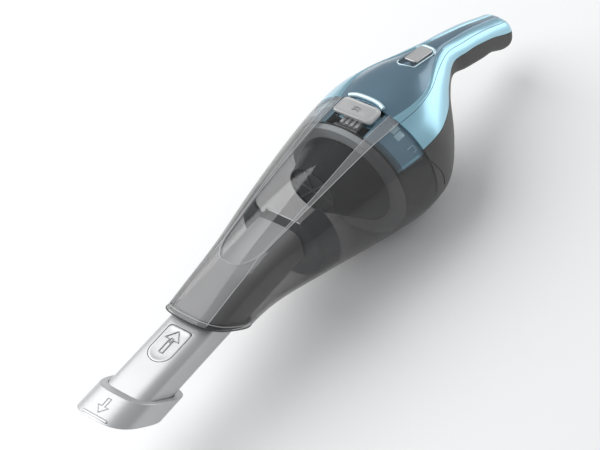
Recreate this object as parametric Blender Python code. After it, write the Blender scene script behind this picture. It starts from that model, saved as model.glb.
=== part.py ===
"""Cordless hand vacuum: crevice tool, see-through dust bowl, filter, motor housing and handle.

All sizes are in millimetres and become metres when a mesh is made. X runs from the nozzle (-X)
to the end of the handle (+X), Z is up, and the origin is the middle of the flat under the housing.
"""

import math

import bmesh
import bpy
import numpy as np
from mathutils import Matrix, Vector

MM = 0.001
GAP = 0.3                # air left between two pieces that touch on the real object

# Driving dimensions of the whole body
AXIS_Z = 79.0            # height of the nozzle's centre line over the base
SEAM_X = -10.0           # where the bowl's skirt meets the motor housing
RING_X = -43.0           # rear face of the filter ring
MOUTH_X = -234.0         # the bowl's mouth, on the nozzle's centre line
HANDLE_END_X = 188.5
NECK_X = 82.0            # where the grip starts
WALL = 2.2               # moulded wall
LEAN = 1.17              # how far the slanted rims lean forward per unit of height
LEAN_LENGTH = 64.0       # stretch over which the bowl's sections turn upright

# Outline of the skin: (x, value) pairs, heights measured from the nozzle's centre line
TOP_LINE = [(-285, 18), (-260, 21), (-215, 28.5), (-185, 33), (-130, 38.8), (-80, 43), (-43, 44.8),
            (-10, 43), (15, 43), (40, 40.5), (65, 33), (90, 27.5), (115, 18.4), (140, 8.5),
            (165, -3.5), (190, -16)]
BOTTOM_LINE = [(-285, -21), (-210, -25), (-185, -29), (-130, -46), (-80, -64.5), (-43, -77.5),
               (-10, -84), (10, -84), (40, -66), (65, -21.5), (90, -9.5), (115, -18.8),
               (140, -28), (155, -32.5), (165, -39), (175, -45), (190, -48)]
HALF_WIDTH = [(-285, 28), (-234, 29), (-185, 32), (-130, 43.4), (-80, 54), (-43, 60.5), (-10, 65),
              (15, 63), (40, 50), (65, 31.5), (90, 19.2), (115, 18.5), (140, 17.8), (165, 17),
              (190, 16.8)]
SQUARENESS = [(-285, 3.0), (-234, 2.8), (-130, 2.3), (-80, 2.1), (-10, 2.05), (40, 2.1), (90, 2.4),
              (190, 2.5)]

# Where the covers part, in degrees round from the top
TOP_PART = [(-10, 31), (15, 34), (35, 37), (60, 40), (90, 42), (120, 38), (190, 35)]
SIDE_PART = [(-10, 58), (15, 60), (39, 66), (60, 76), (78, 82), (98, 77), (125, 71), (156, 75), (190, 80)]
WINDOW_ANGLE = 30.0
WINDOW_TIP_X = -191.0
WINDOW_ROUND = 16.0

# Crevice tool and its collar
TOOL_HALF = (21.0, 14.5)
TOOL_WALL = 1.8
TOOL_SQUARENESS = 4.0
TOOL_REAR_X = -218.0
TOOL_FRONT_X = -344.0
COLLAR_X = (-346.0, -316.0)
COLLAR_HALF = (26.5, 20.0)
COLLAR_LIFT = 1.0
TONGUE = dict(front=-298.0, rear=-262.0, half_width=11.0, thickness=2.2, proud=0.3)

# Intake duct and flap
DUCT_HALF = (21.6, 15.6)
DUCT_WALL = 1.4
DUCT_REAR_X = -131.0
CRADLE_X = (-129.0, -116.0)
FLAP_HALF_WIDTH = 19.6
FLAP_THICKNESS = 1.5
FLAP_PIN = (-128.4, 93.6, 0.8)   # x, z, radius

# Filter
CUP_REAR = (-49.6, 66.0, 45.0)   # x, centre height, radius
CUP_FRONT = (-91.0, 90.0, 23.0)
CUP_WALL = 1.6
PLEATS = 24

# Motor, fan and batteries
FAN_Z = 72.0
FAN_RADIUS = 34.0
FAN_BLADES = 11
SHAFT_RADIUS = 1.6
MOTOR_RADIUS = 18.0
MOTOR_X = (-10.0, 40.0)
CELL_RADIUS = 9.2
CELL_LENGTH = 65.0
CELLS = [(4.0, 27.0), (23.0, 27.0), (13.5, 43.5)]

# Latch and switch
BUTTON_X = (-29.5, -11.5)
BUTTON_ANGLE = 16.5
LATCH_HALF_WIDTH = 19.5
SWITCH_X = 66.0
SWITCH_TRAVEL = 6.0
SWITCH_SIZE = (22.0, 13.0, 2.6)
SCREW_SPOTS = [(-3.0, -8.0), (-3.0, 8.0), (16.0, -8.0), (16.0, 8.0)]

PLASTIC = dict(rough=0.45, metal=0.0)
COLOURS = {
    "silver": dict(rgb=(0.72, 0.73, 0.74), rough=0.35, metal=0.3),
    "smoke": dict(rgb=(0.16, 0.16, 0.17), rough=0.08, metal=0.0, alpha=0.45),
    "clear": dict(rgb=(0.82, 0.84, 0.85), rough=0.05, metal=0.0, alpha=0.3),
    "blue": dict(rgb=(0.17, 0.29, 0.37), rough=0.3, metal=0.5),
    "light_blue": dict(rgb=(0.45, 0.68, 0.78), rough=0.28, metal=0.5),
    "charcoal": dict(rgb=(0.06, 0.06, 0.06), **PLASTIC),
    "grey": dict(rgb=(0.4, 0.41, 0.43), **PLASTIC),
    "dark": dict(rgb=(0.04, 0.04, 0.045), **PLASTIC),
    "white": dict(rgb=(0.8, 0.8, 0.78), **PLASTIC),
    "rubber": dict(rgb=(0.03, 0.03, 0.03), rough=0.8, metal=0.0),
    "steel": dict(rgb=(0.6, 0.6, 0.62), rough=0.3, metal=1.0),
    "cell_wrap": dict(rgb=(0.1, 0.35, 0.2), **PLASTIC),
    "board": dict(rgb=(0.05, 0.25, 0.1), **PLASTIC),
}


# ---------------------------------------------------------------- outline of the body

def along(line, x):
    """Value of a (x, value) line at x, on a smooth curve through its points."""
    xs = np.array([p[0] for p in line], float)
    vs = np.array([p[1] for p in line], float)
    x = min(max(x, xs[0]), xs[-1])
    steps = np.diff(vs) / np.diff(xs)
    slopes = np.concatenate([steps[:1], (steps[:-1] + steps[1:]) / 2, steps[-1:]])
    flat = np.concatenate([[False], steps[:-1] * steps[1:] <= 0, [False]])
    slopes[flat] = 0
    i = min(int(np.searchsorted(xs, x, side="right")) - 1, len(xs) - 2)
    width = xs[i + 1] - xs[i]
    t = (x - xs[i]) / width
    start = (1 + 2 * t) * (1 - t) ** 2 * vs[i] + t * (1 - t) ** 2 * width * slopes[i]
    end = t * t * (3 - 2 * t) * vs[i + 1] + t * t * (t - 1) * width * slopes[i + 1]
    return float(start + end)


def rounded(half_width, half_height, squareness, angle):
    """(y, z) on a rounded rectangle, angle in degrees from the top towards -Y."""
    s, c = math.sin(math.radians(angle)), math.cos(math.radians(angle))
    power = 2 / squareness
    y = -half_width * math.copysign(abs(s) ** power, s)
    z = half_height * math.copysign(abs(c) ** power, c)
    return y, z


def skin(x, angle, inset):
    """Point of the body's outer skin at station x, moved inwards by inset. The belly is flat."""
    top, bottom = along(TOP_LINE, x), along(BOTTOM_LINE, x)
    y, z = rounded(along(HALF_WIDTH, x) - inset, (top - bottom) / 2 - inset, along(SQUARENESS, x), angle)
    return Vector((x, y, max(AXIS_Z + (top + bottom) / 2 + z, inset)))


def leaning_skin(x, angle, inset):
    """As skin, with the sections near the mouth leaning forward like its rim."""
    t = min(max((x - MOUTH_X) / LEAN_LENGTH, 0), 1)
    lean = LEAN * (1 - t * t * (3 - 2 * t))
    point = skin(x, angle, inset)
    for _ in range(6):
        point = skin(x - lean * (point.z - AXIS_Z), angle, inset)
    return point


def tube_point(half, x, angle, lean=0.0, squareness=TOOL_SQUARENESS, lift=0.0):
    """Point on a rounded tube along the nozzle's centre line."""
    y, z = rounded(half[0], half[1], squareness, angle)
    return Vector((x - lean * (z + lift), y, AXIS_Z + lift + z))


def grown(half, amount):
    return half[0] + amount, half[1] + amount


# ---------------------------------------------------------------- making meshes

def material(key):
    name = "mat_" + key
    if name in bpy.data.materials:
        return bpy.data.materials[name]
    look = COLOURS[key]
    made = bpy.data.materials.new(name)
    made.use_nodes = True
    shader = made.node_tree.nodes["Principled BSDF"]
    shader.inputs["Base Color"].default_value = (*look["rgb"], 1)
    shader.inputs["Roughness"].default_value = look["rough"]
    shader.inputs["Metallic"].default_value = look["metal"]
    shader.inputs["Alpha"].default_value = look.get("alpha", 1)
    return made


def solid(name, points, faces, colour, pivot=(0, 0, 0)):
    """An object from points in millimetres, with its origin at pivot."""
    origin = Vector(pivot) * MM
    mesh = bpy.data.meshes.new(name)
    mesh.from_pydata([Vector(p) * MM - origin for p in points], [], faces)
    bm = bmesh.new()
    bm.from_mesh(mesh)
    bmesh.ops.remove_doubles(bm, verts=bm.verts, dist=1e-7)
    bmesh.ops.recalc_face_normals(bm, faces=bm.faces)
    bm.to_mesh(mesh)
    bm.free()
    mesh.materials.append(material(colour))
    made = bpy.data.objects.new(name, mesh)
    made.location = origin
    bpy.context.scene.collection.objects.link(made)
    return made


def shell(name, xs, outer, inner, colour, span=None, around=48, pivot=(0, 0, 0)):
    """A wall between the surfaces outer(x, angle) and inner(x, angle): a full ring, or the
    stretch of angles that span(x) gives."""
    points = []
    for x in xs:
        first, last = span(x) if span else (0, 360)
        steps = around if span is None else around - 1
        angles = [first + (last - first) * i / steps for i in range(around)]
        points += [outer(x, a) for a in angles]
        points += [inner(x, a) for a in angles]
    row = 2 * around
    faces = []
    for k in range(len(xs) - 1):
        a, b = k * row, (k + 1) * row
        for i in range(around if span is None else around - 1):
            j = (i + 1) % around
            faces.append((a + i, a + j, b + j, b + i))
            faces.append((a + around + j, a + around + i, b + around + i, b + around + j))
        if span:
            faces.append((a, b, b + around, a + around))
            faces.append((a + around - 1, a + row - 1, b + row - 1, b + around - 1))
    for start in (0, (len(xs) - 1) * row):
        for i in range(around if span is None else around - 1):
            j = (i + 1) % around
            faces.append((start + i, start + around + i, start + around + j, start + j))
    return solid(name, points, faces, colour, pivot)


def turned(name, outline, z, colour, around=40, pivot=(0, 0, 0)):
    """A closed (x, radius) outline turned about a line along X at height z."""
    points, count = [], len(outline)
    for i in range(around):
        a = 2 * math.pi * i / around
        points += [(x, r * math.sin(a), z + r * math.cos(a)) for x, r in outline]
    faces = []
    for i in range(around):
        a, b = i * count, (i + 1) % around * count
        faces += [(a + k, a + (k + 1) % count, b + (k + 1) % count, b + k) for k in range(count)]
    return solid(name, points, faces, colour, pivot)


def cylinder(name, axis, start, end, radius, colour, around=24, pivot=(0, 0, 0)):
    """A round bar along the Y or Z axis, from start to end."""
    low, high = Vector(start), Vector(end)
    side = Vector((1, 0, 0))
    other = Vector((0, 0, 1)) if axis == "Y" else Vector((0, 1, 0))
    points = []
    for centre in (low, high):
        for i in range(around):
            a = 2 * math.pi * i / around
            points.append(centre + radius * (math.cos(a) * side + math.sin(a) * other))
    faces = [tuple(range(around)), tuple(range(around, 2 * around))]
    faces += [(i, (i + 1) % around, around + (i + 1) % around, around + i) for i in range(around)]
    return solid(name, points, faces, colour, pivot)


def block(name, low, high, colour, pivot=(0, 0, 0)):
    """A box between two corners."""
    points = [(x, y, z) for x in (low[0], high[0]) for y in (low[1], high[1]) for z in (low[2], high[2])]
    faces = [(0, 1, 3, 2), (4, 6, 7, 5), (0, 4, 5, 1), (2, 3, 7, 6), (0, 2, 6, 4), (1, 5, 7, 3)]
    return solid(name, points, faces, colour, pivot)


def prism(name, outline, axis, low, high, colour, pivot=(0, 0, 0)):
    """A flat outline pushed along an axis: (x, y) pairs for Z, (y, z) pairs for X."""
    if axis == "Z":
        ends = [[(x, y, level) for x, y in outline] for level in (low, high)]
    else:
        ends = [[(level, y, z) for y, z in outline] for level in (low, high)]
    count = len(outline)
    faces = [tuple(range(count)), tuple(range(count, 2 * count))]
    faces += [(i, (i + 1) % count, count + (i + 1) % count, count + i) for i in range(count)]
    return solid(name, ends[0] + ends[1], faces, colour, pivot)


def cut(target, tool, how="DIFFERENCE"):
    """Leaves target with tool taken away from it, or joined to it."""
    tool.hide_render = True
    tool.display_type = "WIRE"
    step = target.modifiers.new(tool.name, "BOOLEAN")
    step.operation = how
    step.object = tool
    bpy.context.view_layer.update()
    seen = target.evaluated_get(bpy.context.evaluated_depsgraph_get())
    mesh = bpy.data.meshes.new_from_object(seen)
    target.modifiers.remove(step)
    target.data = mesh
    bpy.data.objects.remove(tool)
    return target


def stations(first, last, count):
    return [first + (last - first) * i / (count - 1) for i in range(count)]


def tongue_outline(grow):
    """Plan of the nozzle's release tongue: square at the rear, round at the front."""
    half, rear = TONGUE["half_width"] + grow, TONGUE["rear"] + grow
    centre = TONGUE["front"] + TONGUE["half_width"]
    arc = [math.radians(90 + 180 * i / 16) for i in range(17)]
    return [(rear, -half), (rear, half)] + [(centre + half * math.cos(a), half * math.sin(a)) for a in arc]


# ---------------------------------------------------------------- nozzle

def make_nozzle():
    tool = shell(
        "crevice_tool", [TOOL_FRONT_X, TOOL_REAR_X],
        lambda x, a: tube_point(TOOL_HALF, x, a, LEAN if x == TOOL_FRONT_X else 0),
        lambda x, a: tube_point(grown(TOOL_HALF, -TOOL_WALL), x, a, LEAN if x == TOOL_FRONT_X else 0),
        "silver",
    )
    top = AXIS_Z + TOOL_HALF[1]
    cut(tool, prism("tongue_slot", tongue_outline(GAP), "Z", top - 5, top + 5, "silver"))
    shell(
        "nozzle_collar", list(COLLAR_X),
        lambda x, a: tube_point(COLLAR_HALF, x, a, LEAN, 3.0, COLLAR_LIFT),
        lambda x, a: tube_point(grown(TOOL_HALF, GAP), x, a, LEAN),
        "silver",
    )
    high = top + TONGUE["proud"]
    rest = ((TONGUE["front"] + TONGUE["rear"]) / 2, 0, high - TONGUE["thickness"])
    prism("nozzle_button", tongue_outline(0), "Z", rest[2], high, "silver", rest)


# ---------------------------------------------------------------- dust bowl

def window_span(grow):
    """Half-angle of the window at x: constant, closing in a round tip at the front."""
    def span(x):
        t = min(max((x - WINDOW_TIP_X) / WINDOW_ROUND, 0.02), 1)
        half = WINDOW_ANGLE * math.sqrt(1 - (1 - t) ** 2) + grow
        return -half, half
    return span


def make_bowl():
    xs = stations(MOUTH_X, SEAM_X - GAP, 17)
    bowl = shell(
        "dust_bowl", xs, lambda x, a: leaning_skin(x, a, 0), lambda x, a: leaning_skin(x, a, WALL), "smoke",
    )
    tip = [WINDOW_TIP_X + WINDOW_ROUND * t for t in (0.02, 0.15, 0.45, 1.0)]
    rest = stations(WINDOW_TIP_X + WINDOW_ROUND, SEAM_X - GAP, 13)[1:]
    opening = shell(
        "window_opening", [tip[0] - 2 * GAP] + tip + rest + [SEAM_X + 2],
        lambda x, a: leaning_skin(x, a, -4), lambda x, a: leaning_skin(x, a, 2 * WALL + 2), "smoke",
        window_span(0.45), 14,
    )
    cut(bowl, opening)
    window = shell(
        "bowl_window", tip + rest,
        lambda x, a: leaning_skin(x, a, 0.1), lambda x, a: leaning_skin(x, a, WALL), "clear",
        window_span(0), 14,
    )
    cut(window, block("button_notch", (BUTTON_X[0] - 2 * GAP, -LATCH_HALF_WIDTH, 95),
                      (SEAM_X + 2, LATCH_HALF_WIDTH, 140), "clear"))
    shell(
        "mouth_bezel", [MOUTH_X + 0.5, MOUTH_X + 6.5],
        lambda x, a: leaning_skin(x, a, WALL + GAP),
        lambda x, a: tube_point(grown(DUCT_HALF, DUCT_WALL + GAP), x, a, LEAN),
        "dark",
    )


def make_duct():
    front = MOUTH_X + 1.0
    duct = shell(
        "intake_duct", [front, DUCT_REAR_X],
        lambda x, a: tube_point(grown(DUCT_HALF, DUCT_WALL), x, a, LEAN if x == front else 0),
        lambda x, a: tube_point(DUCT_HALF, x, a, LEAN if x == front else 0),
        "dark",
    )
    px, pz, pr = FLAP_PIN
    for side in (-1, 1):
        ends = sorted((side * (FLAP_HALF_WIDTH + 2 * GAP), side * (FLAP_HALF_WIDTH + 2 * GAP + 2)))
        lug = block("lug", (DUCT_REAR_X - 1.5, ends[0], pz - 2), (px + 1.5, ends[1], pz + 2), "dark")
        cut(duct, lug, "UNION")
    shell(
        "duct_cradle", list(CRADLE_X),
        lambda x, a: leaning_skin(x, a, WALL + GAP), lambda x, a: leaning_skin(x, a, WALL + GAP + 1.6),
        "grey", lambda x: (WINDOW_ANGLE + 6, 354 - WINDOW_ANGLE), 26,
    )
    shell(
        "duct_support", [DUCT_REAR_X - 6, DUCT_REAR_X - 3],
        lambda x, a: leaning_skin(x, a, WALL + GAP),
        lambda x, a: tube_point(grown(DUCT_HALF, DUCT_WALL + GAP), x, a),
        "grey", lambda x: (WINDOW_ANGLE + 6, 354 - WINDOW_ANGLE), 26,
    )
    cylinder("flap_pin", "Y", (px, -FLAP_HALF_WIDTH, pz), (px, FLAP_HALF_WIDTH, pz), pr, "steel", 16)
    low = AXIS_Z - DUCT_HALF[1] + 1.2
    block(
        "intake_flap", (px - FLAP_THICKNESS / 2, -FLAP_HALF_WIDTH, low),
        (px + FLAP_THICKNESS / 2, FLAP_HALF_WIDTH, pz - pr - GAP), "rubber", (px, 0, pz),
    )


def cup_circle(x, angle, inset, ripple=0.0):
    """Point on the filter's cone, which narrows forwards and rises."""
    t = (x - CUP_REAR[0]) / (CUP_FRONT[0] - CUP_REAR[0])
    centre = CUP_REAR[1] + (CUP_FRONT[1] - CUP_REAR[1]) * t
    radius = CUP_REAR[2] + (CUP_FRONT[2] - CUP_REAR[2]) * t - inset
    radius += ripple * (1 if round(angle * 2 * PLEATS / 360) % 2 else -1)
    a = math.radians(angle)
    return Vector((x, -radius * math.sin(a), centre + radius * math.cos(a)))


def make_filter():
    cup_rear, cup_front = CUP_REAR[0], CUP_FRONT[0]
    shell(
        "filter_ring", [RING_X - 6, RING_X],
        lambda x, a: skin(x, a, WALL + 1.2),
        lambda x, a: cup_circle(cup_rear, a, 4) + Vector((x - cup_rear, 0, 0)), "grey", None, 48,
    )
    shell(
        "filter_seal", [RING_X + GAP, RING_X + 1.7],
        lambda x, a: skin(x, a, WALL + 1.4), lambda x, a: skin(x, a, WALL + 6), "rubber", None, 48,
    )
    shell(
        "filter_cup", [cup_front, cup_rear],
        lambda x, a: cup_circle(x, a, 0), lambda x, a: cup_circle(x, a, CUP_WALL), "smoke",
    )
    a_x, b_x = cup_front + 0.4, cup_front + 1.6
    turned(
        "filter_screen", [(a_x, 0), (a_x, CUP_FRONT[2] - CUP_WALL - 0.9), (b_x, CUP_FRONT[2] - CUP_WALL - 0.9), (b_x, 0)],
        cup_circle(a_x, 0, CUP_FRONT[2]).z, "steel", 32,
    )
    shell(
        "pleated_filter", [cup_front + 6, cup_rear - 0.4],
        lambda x, a: cup_circle(x, a, CUP_WALL + 3.5, 2.0), lambda x, a: cup_circle(x, a, CUP_WALL + 7.5, 2.0),
        "white", None, 2 * PLEATS,
    )


# ---------------------------------------------------------------- motor and battery

def make_motor():
    ring = shell(
        "coupling_ring", stations(RING_X + 2, SEAM_X + 3, 4),
        lambda x, a: skin(x, a, WALL + 1.1), lambda x, a: skin(x, a, WALL + 3.0), "blue", None, 48,
    )
    cut(ring, block("latch_gap", (RING_X, -LATCH_HALF_WIDTH, 95), (SEAM_X + 5, LATCH_HALF_WIDTH, 140), "blue"))
    inside = WALL + 4.2
    centre = Vector((0, 0, FAN_Z))
    eye = 15.0

    def round_hole(x, angle, radius):
        a = math.radians(angle)
        return Vector((x, -radius * math.sin(a), centre.z + radius * math.cos(a)))

    plate_x = RING_X + 5
    plate = shell(
        "inlet_plate", [plate_x, plate_x + 2.5],
        lambda x, a: skin(x, a, inside), lambda x, a: round_hole(x, a, eye), "dark",
    )
    relief = block("latch_relief", (plate_x - 1, -LATCH_HALF_WIDTH, 110), (plate_x + 5, LATCH_HALF_WIDTH, 140), "dark")
    cut(plate, relief)
    fan_front, fan_back = plate_x + 6, SEAM_X - 5
    turned(
        "fan_shroud",
        [(fan_front - 2, eye), (fan_front - 2, FAN_RADIUS + 3), (fan_back + 3, FAN_RADIUS + 3),
         (fan_back + 3, FAN_RADIUS + 1.2), (fan_front - 0.4, FAN_RADIUS + 1.2), (fan_front - 0.4, eye)],
        FAN_Z, "dark",
    )

    def blade_edge(x, angle):
        tooth = (angle * FAN_BLADES / 360) % 1
        return round_hole(x, angle, FAN_RADIUS - 1 if tooth < 0.25 else 9.0)

    hub = SHAFT_RADIUS + GAP
    pivot = (fan_back, 0, FAN_Z)
    wheel = shell(
        "impeller", [fan_front + 1, fan_back - 1.6], blade_edge, lambda x, a: round_hole(x, a, hub),
        "dark", None, FAN_BLADES * 8, pivot,
    )
    disc = turned(
        "fan_disc", [(fan_back - 1.8, hub), (fan_back - 1.8, FAN_RADIUS), (fan_back, FAN_RADIUS), (fan_back, hub)],
        FAN_Z, "dark", FAN_BLADES * 8, pivot,
    )
    cut(wheel, disc, "UNION")
    turned(
        "motor_shaft", [(fan_front, 0), (fan_front, SHAFT_RADIUS), (MOTOR_X[1] - 12, SHAFT_RADIUS), (MOTOR_X[1] - 12, 0)],
        FAN_Z, "steel", 16, pivot,
    )
    bore = SHAFT_RADIUS + GAP
    step = MOTOR_RADIUS - 4
    turned(
        "motor_can",
        [(MOTOR_X[0], bore), (MOTOR_X[0], step), (MOTOR_X[0] + 2, MOTOR_RADIUS), (MOTOR_X[1] - 3, MOTOR_RADIUS),
         (MOTOR_X[1], step), (MOTOR_X[1], 6), (MOTOR_X[1] - 10, 6), (MOTOR_X[1] - 10, bore)],
        FAN_Z, "steel",
    )
    shell(
        "motor_mount", [SEAM_X + 1, SEAM_X + 3.5],
        lambda x, a: skin(x, a, inside), lambda x, a: round_hole(x, a, MOTOR_RADIUS + GAP), "dark",
    )


def make_battery():
    for i, (x, z) in enumerate(CELLS):
        cylinder("battery_cell_%d" % (i + 1), "Y", (x, -CELL_LENGTH / 2, z), (x, CELL_LENGTH / 2, z),
                 CELL_RADIUS, "cell_wrap", 32)
    for side, name in ((-1, "battery_cap_left"), (1, "battery_cap_right")):
        ends = sorted((side * (CELL_LENGTH / 2 + GAP), side * (CELL_LENGTH / 2 + GAP + 1.5)))
        block(name, (-3, ends[0], 22), (28, ends[1], 50), "dark")
    block("control_board", (-2, -14, 99), (36, 14, 100.6), "board")


# ---------------------------------------------------------------- housing and handle

def part_at(line, x, offset):
    """Parting angle at x, pulled back by half a gap on the curved skin."""
    half_gap = math.degrees(GAP / 2 / along(HALF_WIDTH, x))
    return along(line, x) + offset * half_gap


def make_covers():
    front, rear = SEAM_X + GAP, HANDLE_END_X
    xs = stations(front, NECK_X, 13) + stations(NECK_X + GAP, rear, 10)
    outer, inner = (lambda x, a: skin(x, a, 0)), (lambda x, a: skin(x, a, WALL))
    top = shell("top_cover", xs, outer, inner, "blue",
                lambda x: (-part_at(TOP_PART, x, -1), part_at(TOP_PART, x, -1)), 14)
    for name, first, last in (
        ("side_cover_left", lambda x: part_at(TOP_PART, x, 1), lambda x: part_at(SIDE_PART, x, -1)),
        ("side_cover_right", lambda x: 360 - part_at(SIDE_PART, x, -1), lambda x: 360 - part_at(TOP_PART, x, 1)),
    ):
        shell(name, xs, outer, inner, "light_blue", lambda x, f=first, g=last: (f(x), g(x)), 10)

    def below(x):
        return part_at(SIDE_PART, x, 1), 360 - part_at(SIDE_PART, x, 1)

    lower = shell("lower_housing", xs[:13], outer, inner, "charcoal", below, 30)
    shell("handle_grip", xs[13:], outer, inner, "charcoal", below, 22)

    front, rear = SWITCH_X - SWITCH_SIZE[0] / 2 - SWITCH_TRAVEL, SWITCH_X + SWITCH_SIZE[0] / 2
    slope = (along(TOP_LINE, rear) - along(TOP_LINE, front)) / (rear - front)
    cut(top, block("switch_slot", (SWITCH_X - 12, -3.6, 90), (SWITCH_X + 6, 3.6, 140), "blue"))
    for x, y in SCREW_SPOTS:
        cut(lower, cylinder("screw_hole", "Z", (x, y, -2), (x, y, 6), 3.2, "charcoal"))
    return slope


def make_vents():
    """An exhaust slot behind the seam on each flank, with its slatted insert."""
    lower = bpy.data.objects["lower_housing"]
    for side, name in ((1, "vent_left"), (-1, "vent_right")):
        first, last = sorted((side * 72, side * 92))
        if side < 0:
            first, last = first + 360, last + 360
        hole = shell("vent_hole", stations(SEAM_X + 8, SEAM_X + 14, 3), lambda x, a: skin(x, a, -3),
                     lambda x, a: skin(x, a, WALL + 3), "charcoal", lambda x: (first, last), 8)
        cut(lower, hole)
        shell(name, stations(SEAM_X + 8.4, SEAM_X + 13.6, 3), lambda x, a: skin(x, a, 0.8),
              lambda x, a: skin(x, a, WALL), "dark", lambda x: (first + 0.5, last - 0.5), 8)


def make_handle_end():
    middle = AXIS_Z + (along(TOP_LINE, HANDLE_END_X) + along(BOTTOM_LINE, HANDLE_END_X)) / 2

    def socket_hole(x, angle):
        a = math.radians(angle)
        return Vector((x, -3.5 * math.sin(a), middle + 3.5 * math.cos(a)))

    shell(
        "handle_end_cap", [HANDLE_END_X + GAP, HANDLE_END_X + 2],
        lambda x, a: skin(x, a, 0.4 if x < HANDLE_END_X + 1 else 1.6), socket_hole, "charcoal",
    )
    turned(
        "charge_socket",
        [(HANDLE_END_X - 11, 0), (HANDLE_END_X - 11, 3.2), (HANDLE_END_X + 1.6, 3.2), (HANDLE_END_X + 1.6, 2.2),
         (HANDLE_END_X - 8, 2.2), (HANDLE_END_X - 8, 0)],
        middle, "dark", 24,
    )


def make_screws():
    for i, (x, y) in enumerate(SCREW_SPOTS):
        head = cylinder("screw_%d" % (i + 1), "Z", (x, y, 0.5), (x, y, 2.4), 2.9, "steel", 24)
        shank = cylinder("shank", "Z", (x, y, 2.3), (x, y, 11), 1.4, "steel", 16)
        cut(head, shank, "UNION")


# ---------------------------------------------------------------- latch and switch

def make_latch():
    middle = (BUTTON_X[0] + BUTTON_X[1]) / 2
    crown = skin(middle, 0, 0).z
    pivot = (middle, 0, crown)
    button = shell(
        "release_button", stations(*BUTTON_X, 4),
        lambda x, a: skin(x, a, -1), lambda x, a: skin(x, a, 2.2), "silver",
        lambda x: (-BUTTON_ANGLE, BUTTON_ANGLE), 13, pivot,
    )
    foot = block("foot", (middle - 3, -9, crown - 6), (middle + 3, 9, crown - 1.5), "silver", pivot)
    cut(button, foot, "UNION")
    teeth = []
    for i in range(4):
        left = -9.5 + 5 * i
        teeth += [(left, 0), (left, 2), (left + 3.5, 2), (left + 3.5, 0)]
    top = crown - 6.5
    outline = [(y, top + z) for y, z in teeth] + [(9.5, top - 2.2), (-9.5, top - 2.2)]
    prism("latch_hook", outline, "X", BUTTON_X[0] - 5.5, BUTTON_X[0] + 2, "silver", pivot)
    floor = crown - 10.5
    block("latch_tray", (RING_X + 17, -LATCH_HALF_WIDTH + 1, floor - 1.5),
          (SEAM_X + 0.5, LATCH_HALF_WIDTH - 1, floor), "blue")
    shell(
        "release_spring", [floor + GAP, crown - 6.3],
        lambda z, a: Vector((middle, 0, z)) + 3 * Vector((math.cos(math.radians(a)), math.sin(math.radians(a)), 0)),
        lambda z, a: Vector((middle, 0, z)) + 2 * Vector((math.cos(math.radians(a)), math.sin(math.radians(a)), 0)),
        "steel", None, 20,
    )
    bar_x = RING_X + 4.4
    cylinder("bowl_catch", "Y", (bar_x, -11.5, crown - 7), (bar_x, 11.5, crown - 7), 1.9, "dark")


def make_switch(slope):
    length, width, height = SWITCH_SIZE
    crown = skin(SWITCH_X, 0, 0).z
    pivot = (SWITCH_X, 0, crown)
    tilt = math.atan(slope)
    cap = block("power_switch", (SWITCH_X - length / 2, -width / 2, crown + 1.1),
                (SWITCH_X + length / 2, width / 2, crown + 1.1 + height), "silver", pivot)
    stem = block("stem", (SWITCH_X - 3, -3, crown - 7), (SWITCH_X + 3, 3, crown + 1.5), "silver", pivot)
    cut(cap, stem, "UNION")
    turn = Matrix.Rotation(-tilt, 4, "Y")
    cap.data.transform(turn)
    block("switch_body", (SWITCH_X - 14, -7, crown - 18), (SWITCH_X + 8, 7, crown - 10), "dark")


def main():
    for old in list(bpy.data.objects):
        bpy.data.objects.remove(old)
    make_nozzle()
    make_bowl()
    make_duct()
    make_filter()
    make_motor()
    make_battery()
    slope = make_covers()
    make_vents()
    make_handle_end()
    make_screws()
    make_latch()
    make_switch(slope)


main()
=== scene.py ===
"""Looks of the cordless hand vacuum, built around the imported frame.

Sizes are in millimetres, in the frame of the CAD model, and become metres when a mesh is made.
X runs from the nozzle (-X) to the end of the handle, Z is up and the flat belly is at height 0.
"""

import math

import bmesh
import bpy
from mathutils import Matrix, Vector


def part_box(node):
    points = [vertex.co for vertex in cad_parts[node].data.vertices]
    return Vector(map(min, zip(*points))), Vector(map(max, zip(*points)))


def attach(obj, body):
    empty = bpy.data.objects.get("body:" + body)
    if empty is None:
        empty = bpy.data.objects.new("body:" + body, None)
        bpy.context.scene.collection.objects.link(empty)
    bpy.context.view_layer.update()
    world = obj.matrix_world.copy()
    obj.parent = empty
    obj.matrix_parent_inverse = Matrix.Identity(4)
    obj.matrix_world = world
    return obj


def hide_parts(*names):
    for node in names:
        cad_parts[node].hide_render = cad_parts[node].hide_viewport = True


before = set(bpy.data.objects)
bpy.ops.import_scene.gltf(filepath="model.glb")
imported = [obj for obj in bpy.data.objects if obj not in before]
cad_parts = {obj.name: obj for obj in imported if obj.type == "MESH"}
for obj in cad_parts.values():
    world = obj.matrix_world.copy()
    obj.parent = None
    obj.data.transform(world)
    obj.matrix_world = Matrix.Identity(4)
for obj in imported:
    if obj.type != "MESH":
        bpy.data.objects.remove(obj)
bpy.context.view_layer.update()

MM = 0.001


def box_mm(node):
    """Lowest and highest corner of a CAD node, in millimetres."""
    low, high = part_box(node)
    return low / MM, high / MM


# ------ driving dimensions
# Lines hold (x, value) pairs. Angles are in degrees, from the top of a section towards -Y.

SIDES = ((1, "left"), (-1, "right"))
AXIS_Z = 79.0
WALL = 2.2
LEAN = 1.17
LEAN_LENGTH = 64.0
MOUTH_X = -234.0
SEAM_X = -10.0
RING_X = box_mm("filter_ring")[1].x
HANDLE_END_X = 188.5
NECK_X = 82.0
PART_GAP = 0.35
SEAM_GAP = 0.3
END_ROUND = 9.0

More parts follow.
